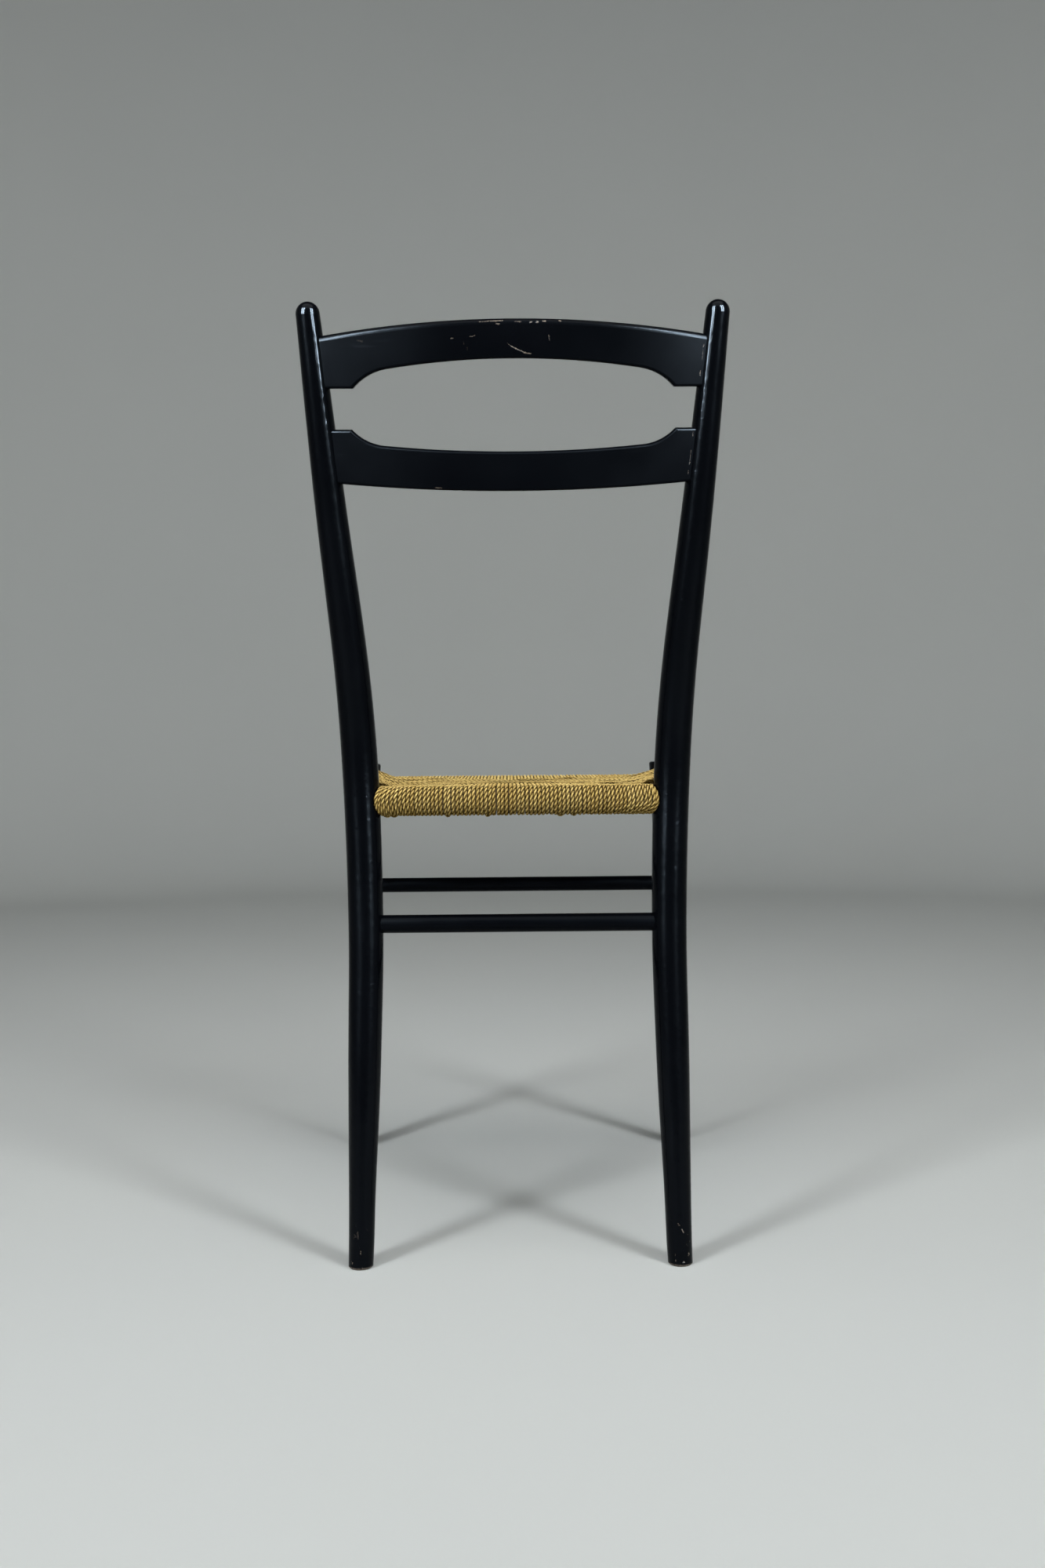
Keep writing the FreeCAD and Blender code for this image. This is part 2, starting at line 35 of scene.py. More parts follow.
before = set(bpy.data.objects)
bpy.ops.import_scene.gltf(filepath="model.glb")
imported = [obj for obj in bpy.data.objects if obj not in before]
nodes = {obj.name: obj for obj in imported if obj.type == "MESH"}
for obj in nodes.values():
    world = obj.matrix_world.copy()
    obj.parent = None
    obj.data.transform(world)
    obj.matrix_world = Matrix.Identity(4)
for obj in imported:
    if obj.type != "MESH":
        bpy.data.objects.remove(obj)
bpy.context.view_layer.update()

# Camera, at the photograph's viewing angle
CAMERA_PLACE = Vector((0.0063, 1.6225, 0.5013))
CAMERA_YAW, CAMERA_PITCH, CAMERA_ROLL = -0.0082, 0.0313, -0.0084
FOCAL_PIXELS = 1944
PHOTO_SIZE = (1333, 2000)
SENSOR_MM = 36
CLIP_END = 20

# Studio
FLOOR_RADIUS = 3.3
COVE_RADIUS = 0.9
WALL_HEIGHT = 3.9
STUDIO_SIDES, COVE_STEPS = 96, 12
PAINT_CLOUD = 0.97              # brightness of the clouds in its paint, next to the paint itself

# Lamps: sizes in metres, powers in watts, spreads in degrees
SIDE_PLACE, SIDE_TARGET = (1.75, 2.05, 1.85), (0, 0, 1.2)
SIDE_SPREAD = 120
SOFTBOX_SIZE, SOFTBOX_POWER, SOFTBOX_COLOUR = (0.52, 2.25), 38, (0.92, 0.96, 1.0)
STRIP_SIZE, STRIP_POWER, STRIP_COLOUR = (0.95, 2.25), 860, (0.80, 0.90, 1.0)
OVERHEAD_PLACE, OVERHEAD_TARGET = (0, 1.4, 3.6), (0, 0.1, 0.1)
OVERHEAD_SIZE, OVERHEAD_POWER = (4.0, 3.0), 78
ROOM_LIGHT = 0.08

# Cord of the seat
CORD_RADIUS = 0.0019
CORD_SWELL = 1.14               # turns press into each other, so each is drawn a little thicker
CORD_PITCH = 0.0039             # from one turn to the next along a rail
CORD_LAY = 0.0160               # length in which the three plies go round once
PLY_CENTRE_SHARE = 0.43         # of the cord's radius
PLY_ANGLE = 2 * math.pi / 3
RING = 12                       # points round a cord, four for each ply
RING_ANGLES = np.arange(RING) * (2 * math.pi / RING)
RING_STEP = 2 * math.pi * CORD_RADIUS / RING
TOP_STEP, BOTTOM_STEP = 0.0020, 0.0026
SAME_POINT = 1e-7               # points of a line that lie closer than this count as one
LEAST_POINTS = 4                # on any line that is spaced evenly
SEED = 11                       # of everything random in the cord
PHASE_DRIFT = 0.45              # how far the twist of one turn differs from its neighbour's, in radians
LAY_SHIFT = 40                  # how far along the fibres' pattern a turn may start
WAVE_LENGTH = 0.028             # of the slight waves in a turn
THICKNESS_WAVE, THICKNESS_CHANGE = 0.04, 0.02
END_JITTER, SIDE_JITTER = 0.06, 0.05
END_WAVES = (0.00012, 0.00012, 0.00018)
SIDE_WAVES = (0.00015, 0.00038, 0.00080)
PIECE_FACES = 90000             # a panel with more than this is made in several pieces
TURN_MARGIN = 0.0006            # left between turns in the bake's layout
LAYOUT_SPARE, LAYOUT_EDGE = 1.02, 0.01      # factor and addition that make its square large enough

# Seat: rails, legs and the turns' route round them
RAIL_HALF_WIDTH, RAIL_HALF_HEIGHT, RAIL_ROUND = 0.010, 0.0107, 0.008
REAR_LEG_RADIUS, FRONT_LEG_RADIUS = 0.0175, 0.0172
LEG_CLEARANCE = 0.0004
REAR_CORNER = (0.1501, 0.1466)
FRONT_CORNER = (0.1816, -0.2335)
BACK_APEX, FRONT_APEX = -0.0034, -0.0834
SIDE_NOSE_SETBACK = 0.0130      # from a leg's axis to the first turn on the outside of a side rail
LEAST_DEPTH = 0.008             # of the shortest turns, at the corners
SEAM_DIP = 0.0055               # how far a turn dives under the other panel at a seam
SEAM_DIP_LENGTH = 0.0075
DIVE_SHARES, CLIMB_SHARES = (0.0, 0.35, 0.7, 1.0), (0.0, 0.3, 0.65, 1.0)
SPAN_STEP, LEAST_SPANS = 0.004, 2
ARC_STEPS = 8                   # round each edge of a rail
FAN_POWER = 4                   # the turns next to a leg fan out round it
# How far out the outermost turn of the back and front panels lies: on top, outside and underneath
BACK_FAN = (0.1314, 0.1364, 0.1285)
FRONT_FAN = (0.1627, 0.1660, 0.1605)
SIDE_SLOPE_REACH = 0.037        # width of the slope from a side rail down to the middle
SIDE_SLOPE_FOOT_RISE = 0.001    # how far above the middle that slope ends
LAYER_REACH = 0.15              # depth by which both layers have come to their heights at the middle
MIDDLE_DROP = 0.0025
MIDDLE_THICKNESS = 0.016
END_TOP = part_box("seat_cord_back")[1].z
SIDE_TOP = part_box("seat_cord_left")[1].z
MIDDLE_TOP = END_TOP - MIDDLE_DROP
MIDDLE_BOTTOM = MIDDLE_TOP - MIDDLE_THICKNESS

# Joins in the cord under the back rail: place across, place behind the rail's middle, half length, slant
JOINS = (
    (0.1255, 0.0015, 0.0030, 0.0010), (0.1185, 0.0005, 0.0030, -0.0010),
    (0.0665, 0.0010, 0.0024, 0.0015), (0.0280, 0.0010, 0.0022, 0.0010),
    (-0.0420, 0.0015, 0.0028, -0.0015), (-0.0550, 0.0010, 0.0020, 0.0010))
# A join's route: shares of its half length, of its slant and of its rise into the turns
JOIN_ROUTE_SHARES = (
    (-1, -1, 1), (-0.85, -0.8, 0.5), (-0.45, -0.3, 0),
    (0.45, 0.3, 0), (0.85, 0.8, 0.5), (1, 1, 1))
JOIN_STEP = 0.0012
JOIN_RISE = 2.2 * CORD_RADIUS
JOIN_SINK = 0.25 * CORD_RADIUS


# Shader helpers

class Shader:
    """A material being wired. Most methods add a node or a few and return the last one's output."""

    def __init__(self, name):
        self.material = bpy.data.materials.new(name)
        self.material.use_nodes = True
        self.tree = self.material.node_tree
        self.tree.nodes.clear()
        self.output = self.tree.nodes.new("ShaderNodeOutputMaterial")
        self.surface = self.tree.nodes.new("ShaderNodeBsdfPrincipled")
        self.tree.links.new(self.surface.outputs["BSDF"], self.output.inputs["Surface"])

    def feed(self, socket, value):
        if isinstance(value, bpy.types.NodeSocket):
            self.tree.links.new(value, socket)
        else:
            socket.default_value = value

    def node(self, kind, inputs, output=0, **settings):
        made = self.tree.nodes.new(kind)
        for key, value in settings.items():
            setattr(made, key, value)
        for key, value in inputs.items():
            self.feed(made.inputs[key], value)
        return made.outputs[output]

    def position(self):
        return self.node("ShaderNodeTexCoord", {}, "Object")

    def height(self, vector):
        return self.node("ShaderNodeSeparateXYZ", {"Vector": vector}, "Z")

    def upward(self):
        """How far the surface faces up: 1 for a flat top, -1 for an underside."""
        return self.height(self.node("ShaderNodeTexCoord", {}, "Normal"))

    def value_of(self, name):
        return self.node("ShaderNodeAttribute", {}, "Fac", attribute_name=name)

    def vector(self, operation, a, b, output="Vector"):
        return self.node("ShaderNodeVectorMath", {0: a, 1: b}, output, operation=operation)

    def scaled(self, vector, factor):
        return self.node("ShaderNodeVectorMath", {0: vector, "Scale": factor}, operation="SCALE")

    def noise(self, vector, scale=1.0, detail=3.0, roughness=0.5, output=0):
        return self.node("ShaderNodeTexNoise", {"Vector": vector, "Scale": scale, "Detail": detail,
                                                "Roughness": roughness}, output)

    def grained(self, vector, scales, detail, roughness=0.5):
        """Noise with a scale of its own along each axis."""
        return self.noise(self.vector("MULTIPLY", vector, scales), 1.0, detail, roughness)

    def ramp(self, value, low, high, to_low=0.0, to_high=1.0):
        return self.node("ShaderNodeMapRange", {"Value": value, "From Min": low, "From Max": high,
                                                "To Min": to_low, "To Max": to_high}, clamp=True)

    def math(self, operation, a, b):
        return self.node("ShaderNodeMath", {0: a, 1: b}, operation=operation)

    def mix(self, share, a, b):
        made = self.tree.nodes.new("ShaderNodeMix")
        made.data_type = "RGBA"
        for key, value in ((0, share), (6, a), (7, b)):
            self.feed(made.inputs[key], value)
        return made.outputs[2]

    def bump(self, height, strength, distance, normal=None):
        inputs = {"Height": height, "Strength": strength, "Distance": distance}
        if normal is not None:
            inputs["Normal"] = normal
        return self.node("ShaderNodeBump", inputs)

    def streak(self, place, start, end, radius):
        """A mask round the line from start to end."""
        half = (end - start).length / 2
        off = self.vector("SUBTRACT", place, (start + end) / 2)
        if half > 0:
            way = (end - start).normalized()
            along = self.vector("DOT_PRODUCT", off, way, "Value")
            held = self.node("ShaderNodeClamp", {"Value": along, "Min": -half, "Max": half})
            off = self.vector("SUBTRACT", off, self.scaled(way, held))
        distance = self.node("ShaderNodeVectorMath", {0: off}, "Value", operation="LENGTH")
        return self.ramp(distance, radius, 0.5 * radius)

    def finish(self, **sockets):
        for key, value in sockets.items():
            self.feed(self.surface.inputs[key.replace("_", " ")], value)
        return self.material


def rgb(red, green, blue):
    return (red, green, blue, 1.0)


# Colours, linear. A pair is the darkest and the lightest of a cloudy or fibrous surface

LACQUER = rgb(0.0006, 0.0008, 0.0014), rgb(0.0012, 0.0015, 0.0024)
LACQUER_SHEEN = rgb(0.80, 0.91, 1.0)
CHIPPED = rgb(0.050, 0.034, 0.024), rgb(0.44, 0.36, 0.28)
BEECH = rgb(0.24, 0.15, 0.08), rgb(0.36, 0.25, 0.15)
BEECH_FLECK = rgb(0.14, 0.08, 0.04)
CARD = rgb(0.30, 0.27, 0.22), rgb(0.46, 0.42, 0.36)
CARD_SPECK = rgb(0.14, 0.12, 0.10)
STEEL = rgb(0.17, 0.18, 0.21), rgb(0.36, 0.37, 0.40)
PAPER = rgb(0.56, 0.37, 0.10), rgb(0.95, 0.73, 0.29)
PAPER_PATCH = rgb(0.95, 0.74, 0.32)
DARK_TURN = rgb(0.36, 0.22, 0.05)
# Painted shade of the cord: on the slopes of each ply, in the grooves between plies and in the gaps
# between turns
PAINTED_PLY_SLOPE_SHADE = rgb(0.105, 0.055, 0.009)
PAINTED_PLY_GROOVE_SHADE = rgb(0.022, 0.011, 0.002)
PAINTED_TURN_GAP_SHADE = rgb(0.028, 0.015, 0.003)
# Painted shade on the cord's undersides
PAINTED_UNDERSIDE_SHADE = rgb(0.09, 0.052, 0.010)
STUDIO_PAINT = rgb(0.49, 0.50, 0.48)
ROOM_COLOUR = rgb(0.9, 0.93, 1.0)

# Lacquer: its least and greatest roughness and its specular level
GLOSS, SATIN = (0.10, 0.13, 0.08), (0.17, 0.22, 0.04)
FRAY = 0.0018                   # how ragged the edges of worn spots are
# Heights between which the wear of a foot sets in: pits above the rim, and the rim itself
PITTED_FOOT, FOOT_RIM = (0.045, 0.002), (0.0026, 0.0014)

# Noise scales along each axis, low along the grain
UPRIGHT_GRAIN = (260.0, 260.0, 9.0)
ACROSS_GRAIN = (9.0, 260.0, 260.0)
FORE_AFT_GRAIN = (260.0, 9.0, 260.0)
BEECH_ACROSS_GRAIN = (12.0, 340.0, 340.0)
BEECH_FORE_AFT_GRAIN = (340.0, 12.0, 340.0)
FOOT_PITS = (230.0, 230.0, 120.0)
STEEL_SCRATCHES = (900.0, 900.0, 4000.0)
PAPER_FIBRES = (90.0, 2400.0, 1.0)


# Materials

def wear_masks(s, place, chips, worn_feet):
    """Where the lacquer is worn through: lines with ragged edges, and the feet."""
    shake = s.noise(place, scale=800.0, detail=2.0, output="Color")
    shake = s.scaled(s.vector("ADD", shake, (-0.5, -0.5, -0.5)), FRAY)
    frayed = s.vector("ADD", place, shake)
    masks = [s.math("MULTIPLY", s.streak(frayed, start, end, radius), strength)
             for start, end, radius, strength in chips]
    if worn_feet:
        height = s.height(frayed)
        near_foot = s.ramp(height, *PITTED_FOOT)
        pits = s.ramp(s.grained(place, FOOT_PITS, 3.0, 0.6), 0.66, 0.70, 0.0, 0.5)
        masks += [s.math("MULTIPLY", near_foot, pits), s.ramp(height, *FOOT_RIM, 0.0, 0.35)]
    return masks


def lacquer(name, grain, shine, chips=(), worn_feet=False, dusty_ledges=False):
    """Black lacquer over wood whose grain runs along one axis, chipped where the photograph shows it."""
    least_rough, most_rough, specular = shine
    s = Shader(name)
    place = s.position()
    cloud = s.noise(place, scale=14.0, detail=2.0)
    ripple = s.noise(place, scale=38.0, detail=1.0)
    dust = s.ramp(s.noise(place, scale=700.0, detail=2.0, roughness=0.7), 0.60, 0.85, 0.0, 0.05)
    fibres = s.grained(place, grain, 4.0, 0.6)
    scuffs = s.ramp(s.grained(place, tuple(0.4 * g for g in grain), 2.0), 0.66, 0.74, 0.0, 0.03)
    colour = s.mix(cloud, *LACQUER)
    rough = s.ramp(cloud, 0.3, 0.7, least_rough, most_rough)
    for duller in (dust, scuffs):
        rough = s.math("ADD", rough, duller)
    if dusty_ledges:
        upward = s.upward()
        rough = s.math("ADD", rough, s.ramp(upward, 0.1, 0.4, 0.0, 0.4))
        specular = s.ramp(upward, 0.1, 0.4, specular, 0.1 * specular)
    normal = s.bump(fibres, strength=0.015, distance=0.0003)
    normal = s.bump(ripple, strength=0.012, distance=0.0010, normal=normal)
    if chips or worn_feet:
        worn, *others = wear_masks(s, place, chips, worn_feet)
        for mask in others:
            worn = s.math("MAXIMUM", worn, mask)
        speckle = s.ramp(s.noise(place, scale=1300.0, detail=1.0), 0.35, 0.65)
        colour = s.mix(worn, colour, s.mix(speckle, *CHIPPED))
        rough = s.math("ADD", rough, s.math("MULTIPLY", worn, 0.4))
        normal = s.bump(worn, strength=0.6, distance=-0.0003, normal=normal)
    return s.finish(Base_Color=colour, Roughness=rough, Normal=normal, Specular_IOR_Level=specular,
                    Specular_Tint=LACQUER_SHEEN)


def bare_wood(name, grain):
    s = Shader(name)
    place = s.position()
    fibres = s.grained(place, grain, 5.0, 0.65)
    flecks = s.grained(place, tuple(3 * g for g in grain), 2.0)
    colour = s.mix(s.ramp(flecks, 0.62, 0.72), s.mix(fibres, *BEECH), BEECH_FLECK)
    return s.finish(Base_Color=colour, Roughness=s.ramp(fibres, 0.3, 0.7, 0.55, 0.72),
                    Normal=s.bump(fibres, strength=0.3, distance=0.0003))


def board_card(name):
    s = Shader(name)
    place = s.position()
    fibres = s.noise(place, scale=420.0, detail=4.0, roughness=0.7)
    specks = s.noise(place, scale=1500.0, detail=1.0)
    colour = s.mix(s.ramp(specks, 0.66, 0.74), s.mix(fibres, *CARD), CARD_SPECK)
    return s.finish(Base_Color=colour, Roughness=s.ramp(fibres, 0.3, 0.7, 0.80, 0.93),
                    Normal=s.bump(fibres, strength=0.3, distance=0.0003))


def tack_steel(name):
    s = Shader(name)
    scratch = s.grained(s.position(), STEEL_SCRATCHES, 3.0)
    return s.finish(Base_Color=s.mix(scratch, *STEEL), Metallic=1.0,
                    Roughness=s.ramp(scratch, 0.3, 0.7, 0.28, 0.46),
                    Normal=s.bump(scratch, strength=0.15, distance=0.0001))


def paper_cord(name):
    """Twisted paper cord: fibres along each ply, with painted shade on the plies' slopes, in the grooves
    between the plies and in the gaps between the turns.

    Painted shade makes the paper darker where its surface faces down.
    """
    s = Shader(name)
    lay = s.node("ShaderNodeUVMap", {}, uv_map="lay")
    creases = s.grained(lay, PAPER_FIBRES, 4.0, 0.65)
    patches = s.ramp(s.noise(s.position(), scale=45.0), 0.40, 0.70)
    groove = s.value_of("groove")
    slope = s.ramp(groove, 0.05, 0.80)
    colour = s.mix(s.ramp(creases, 0.25, 0.75), *PAPER)
    colour = s.mix(s.math("MULTIPLY", patches, 0.30), colour, PAPER_PATCH)
    colour = s.mix(s.math("MULTIPLY", s.value_of("strand_tone"), 0.45), colour, DARK_TURN)
    # Painted shade on the slopes of each ply and in the grooves between the plies
    colour = s.mix(s.math("MULTIPLY", slope, 0.90), colour, PAINTED_PLY_SLOPE_SHADE)
    colour = s.mix(s.ramp(groove, 0.60, 1.0, 0.0, 0.9), colour, PAINTED_PLY_GROOVE_SHADE)
    # Painted shade where a turn faces its neighbours, in the gaps between turns
    colour = s.mix(s.ramp(s.value_of("flank"), 0.43, 0.88, 0.0, 0.93), colour, PAINTED_TURN_GAP_SHADE)
    # Painted shade on surfaces that face down
    colour = s.mix(s.ramp(s.upward(), 0.05, -0.8, 0.0, 0.6), colour, PAINTED_UNDERSIDE_SHADE)
    rough = s.math("ADD", s.ramp(creases, 0.3, 0.7, 0.42, 0.58), s.math("MULTIPLY", slope, 0.2))
    return s.finish(Base_Color=colour, Roughness=rough, Specular_IOR_Level=0.0,
                    Normal=s.bump(creases, strength=0.5, distance=0.0004))


def studio_paint(name):
    s = Shader(name)
    place = s.position()
    cloud = s.noise(place, scale=2.2)
    grit = s.noise(place, scale=240.0, detail=2.0)
    clouded = rgb(*(PAINT_CLOUD * channel for channel in STUDIO_PAINT[:3]))
    return s.finish(Base_Color=s.mix(cloud, STUDIO_PAINT, clouded), Roughness=0.85,
                    Normal=s.bump(grit, strength=0.05, distance=0.0005), Specular_IOR_Level=0.0)


# Seat panels

# A panel's turns lie across its rail. Each is drawn first as (depth, height), from the seam over the top,
# round the rail and back along the bottom, with depth measured inwards from the rail's middle.

def side_top(depth):
    foot = MIDDLE_TOP + SIDE_SLOPE_FOOT_RISE
    if depth < SIDE_SLOPE_REACH:
        return SIDE_TOP + (foot - SIDE_TOP) * max(depth, 0) / SIDE_SLOPE_REACH
    return foot


def end_top(depth):
    return END_TOP + (MIDDLE_TOP - END_TOP) * min(max(depth / LAYER_REACH, 0), 1)


def rail_edge(start, nose, height, bend, first_share):
    """A quarter turn round one edge of the rail, from an angle in degrees."""
    points = []
    for i in range(ARC_STEPS + 1):
        angle = math.radians(start + 90 * i / ARC_STEPS)
        points.append((bend - nose + bend * math.cos(angle), height + bend * math.sin(angle),
                       first_share + i / ARC_STEPS))
    return points


def turn_section(seam_depth, top, rail_top):
    """The upper and the lower half of one turn of cord, as (depth, height, share) points.

    The share tells how far round the rail a point lies: 0 on top, 1 outside and 2 underneath.
    """
    r = CORD_RADIUS
    rail_middle = rail_top - 2 * r - RAIL_HALF_HEIGHT
    nose, above, bend = RAIL_HALF_WIDTH + r, RAIL_HALF_HEIGHT + r, RAIL_ROUND + r
    inner = max(seam_depth - SEAM_DIP_LENGTH, 0)
    steps = max(LEAST_SPANS, int(inner / SPAN_STEP))
    level = top(seam_depth) - r
    upper = [(seam_depth + SEAM_DIP_LENGTH * (1 - share), level - SEAM_DIP * (1 - share) ** 2, 0.0)
             for share in DIVE_SHARES]
    for i in range(steps):
        depth = inner * (1 - i / steps)
        upper.append((depth, top(depth) - r, 0.0))
    outermost = (-nose, rail_middle, 1.0)
    upper += rail_edge(90, nose, rail_middle + above - bend, bend, 0) + [outermost]
    lower = [outermost] + rail_edge(180, nose, rail_middle - above + bend, bend, 1)
    rail_bottom = rail_middle - above
    rise = MIDDLE_BOTTOM + r - rail_bottom
    for i in range(steps + 1):
        depth = inner * i / steps
        lower.append((depth, rail_bottom + rise * min(depth / LAYER_REACH, 1), 2.0))
    level = rail_bottom + rise * min(seam_depth / LAYER_REACH, 1)
    lower += [(seam_depth + SEAM_DIP_LENGTH * share, level + SEAM_DIP * share ** 2, 2.0)
              for share in CLIMB_SHARES]
    return upper, lower


def distances(points):
    """How far along a line through points each of them lies."""
    return np.concatenate([[0], np.cumsum(np.linalg.norm(np.diff(points, axis=0), axis=1))])


def resample(points, step):
    """Evenly spaced points on a line through points."""
    points = np.array(points)
    moves = np.linalg.norm(np.diff(points, axis=0), axis=1) > SAME_POINT
    points = points[np.concatenate([[True], moves])]
    along = distances(points)
    at = np.linspace(0, along[-1], max(LEAST_POINTS, int(along[-1] / step) + 1))
    return np.stack([np.interp(at, along, points[:, k]) for k in range(3)], axis=1)


def wander(rng, along, wave, size):
    """A smooth random offset along a cord."""
    knots = rng.normal(0, size, int(along[-1] / wave) + 3)
    at = along / wave
    low = at.astype(int)
    share = at - low
    share = share * share * (3 - 2 * share)
    return knots[low] * (1 - share) + knots[low + 1] * share


def push_out(path, centre, radius):
    """Move points that would enter an upright leg out to its surface."""
    gap = path[:, :2] - np.array(centre)
    distance = np.linalg.norm(gap, axis=1)
    least = radius + CORD_RADIUS + LEG_CLEARANCE
    inside = distance < least
    path[inside, :2] = np.array(centre) + gap[inside] * (least / distance[inside])[:, None]


def finish_path(upper, lower, legs, waves, rng):
    """Even spacing, and the slight waves of cord pulled tight by hand."""
    path = np.concatenate([resample(upper, TOP_STEP), resample(lower, BOTTOM_STEP)[1:]])
    along = distances(path)
    for axis, size in enumerate(waves):
        path[:, axis] += wander(rng, along, WAVE_LENGTH, size)
    for centre, radius in legs:
        push_out(path, centre, radius)
    return path


def seam_depth_at_end(across, corner, apex):
    """Depth of an end panel's seam at a distance from the middle."""
    share = min(abs(across) / corner[0], 1)
    return abs(corner[1] - apex) * (1 - share)


def end_turns(corner, apex, way, fan, leg_radius, rng):
    """Turns round the back rail (way 1) or the front rail (way -1), fanning out next to the legs."""
    count = round(2 * fan[1] / CORD_PITCH)
    legs = [((side * corner[0], corner[1]), leg_radius) for side in (-1, 1)]
    paths = []
    for i in range(count):
        u = 2 * i / (count - 1) - 1
        u += rng.normal(0, END_JITTER) / count if 0 < i < count - 1 else 0
        fanned = math.copysign(abs(u) ** FAN_POWER, u)
        across = [u * fan[1] - fanned * (fan[1] - reach) for reach in fan]
        depth = max(seam_depth_at_end(across[0], corner, apex), LEAST_DEPTH)
        halves = [[(np.interp(share, (0, 1, 2), across), corner[1] - way * d, z) for d, z, share in half]
                  for half in turn_section(depth, end_top, END_TOP)]
        paths.append(finish_path(*halves, legs, END_WAVES, rng))
    return paths


def seam_depth_at_side(y):
    """Distance from the middle of the chair to a side panel's seam."""
    if y > BACK_APEX:
        share = (y - BACK_APEX) / (REAR_CORNER[1] - BACK_APEX)
        return REAR_CORNER[0] * share
    if y < FRONT_APEX:
        share = (FRONT_APEX - y) / (FRONT_APEX - FRONT_CORNER[1])
        return FRONT_CORNER[0] * share
    return 0.0


def side_turns(side, rng):
    """Turns round a side rail, front to rear."""
    front_y = FRONT_CORNER[1] + FRONT_LEG_RADIUS + CORD_RADIUS
    rear_y = REAR_CORNER[1] - REAR_LEG_RADIUS - CORD_RADIUS
    nose_front, nose_rear = FRONT_CORNER[1] + SIDE_NOSE_SETBACK, REAR_CORNER[1] - SIDE_NOSE_SETBACK
    legs = [((side * FRONT_CORNER[0], FRONT_CORNER[1]), FRONT_LEG_RADIUS),
            ((side * REAR_CORNER[0], REAR_CORNER[1]), REAR_LEG_RADIUS)]
    count = round((nose_rear - nose_front) / CORD_PITCH)
    paths = []
    for i in range(count):
        share = i / (count - 1)
        share += rng.normal(0, SIDE_JITTER) / count if 0 < i < count - 1 else 0
        inner_y = front_y + (rear_y - front_y) * share
        outer_y = nose_front + (nose_rear - nose_front) * share
        outward = (outer_y - inner_y) * abs(2 * share - 1) ** FAN_POWER
        along = (inner_y - FRONT_CORNER[1]) / (REAR_CORNER[1] - FRONT_CORNER[1])
        rail_x = FRONT_CORNER[0] + (REAR_CORNER[0] - FRONT_CORNER[0]) * along
        depth = max(rail_x - seam_depth_at_side(inner_y), LEAST_DEPTH)
        halves = [[(side * (rail_x - d), inner_y + np.interp(way, (0, 1, 2), (0, outward, 0)), z)
                   for d, z, way in half] for half in turn_section(depth, side_top, SIDE_TOP)]
        paths.append(finish_path(*halves, legs, SIDE_WAVES, rng))
    return paths


def joins_under_back_rail():
    """Short crossings under the back rail, where one length of cord was joined to the next."""
    low = END_TOP - 4 * CORD_RADIUS - 2 * RAIL_HALF_HEIGHT + JOIN_SINK
    paths = []
    for x, y, half, slant in JOINS:
        middle = REAR_CORNER[1] + y
        points = [(x + along * half, middle + across * slant, low + up * JOIN_RISE)
                  for along, across, up in JOIN_ROUTE_SHARES]
        paths.append(resample(points, JOIN_STEP))
    return paths


# Cord along a path

def ply_profile():
    """Radius and depth of groove round a three-ply cord, at the points of a ring."""
    off = (RING_ANGLES + PLY_ANGLE / 2) % PLY_ANGLE - PLY_ANGLE / 2
    ply = 1 - PLY_CENTRE_SHARE
    radius = PLY_CENTRE_SHARE * np.cos(off) + np.sqrt(ply ** 2 - (PLY_CENTRE_SHARE * np.sin(off)) ** 2)
    return radius * (CORD_RADIUS * CORD_SWELL), np.abs(off) / (PLY_ANGLE / 2)


def carried_frame(path):
    """Two directions across a path at each point, carried along it without twisting."""
    tangent = np.gradient(path, axis=0)
    tangent /= np.linalg.norm(tangent, axis=1)[:, None]
    normal = np.zeros_like(path)
    normal[0] = np.cross(tangent[0], (0, 0, 1))
    normal[0] /= np.linalg.norm(normal[0])
    for i in range(1, len(path)):
        moved = normal[i - 1] - tangent[i] * np.dot(normal[i - 1], tangent[i])
        normal[i] = moved / np.linalg.norm(moved)
    return normal, np.cross(tangent, normal)


def quad_corners(near, far, low, high):
    """Layout places of the corners of quads, in the order of their vertices."""
    corners = [np.stack(pair, -1) for pair in ((near, low), (near, high), (far, high), (far, low))]
    return np.stack(corners, axis=-2).reshape(-1, 2)


def strip_layout(lengths):
    """The left and bottom edges of the stretches between rings, in rows of one square, and its scale."""
    row_height = 2 * math.pi * CORD_RADIUS + TURN_MARGIN
    total = sum(float(length[-1]) + TURN_MARGIN for length in lengths)
    side = math.sqrt(total * row_height) * LAYOUT_SPARE + LAYOUT_EDGE
    lefts, row_numbers = [], []
    x, row = 0.0, 0
    for along in lengths:
        for step in np.diff(along):
            if x + step > side:
                x, row = 0.0, row + 1
            lefts.append(x)
            row_numbers.append(row)
            x += step
        x += TURN_MARGIN
    scale = 1 / max(side, (row + 1) * row_height)
    return np.array(lefts) * scale, np.array(row_numbers) * row_height * scale, scale


def bake_corners(lengths):
    """The bake's layout, in which no two quads overlap."""
    left, bottom, scale = strip_layout(lengths)
    steps = np.concatenate([np.diff(along) for along in lengths]) * scale
    left, bottom, steps = (np.repeat(v, RING) for v in (left, bottom, steps))
    up = bottom + np.tile(np.arange(RING), len(left) // RING) * RING_STEP * scale
    return quad_corners(left, left + steps, up, up + RING_STEP * scale)


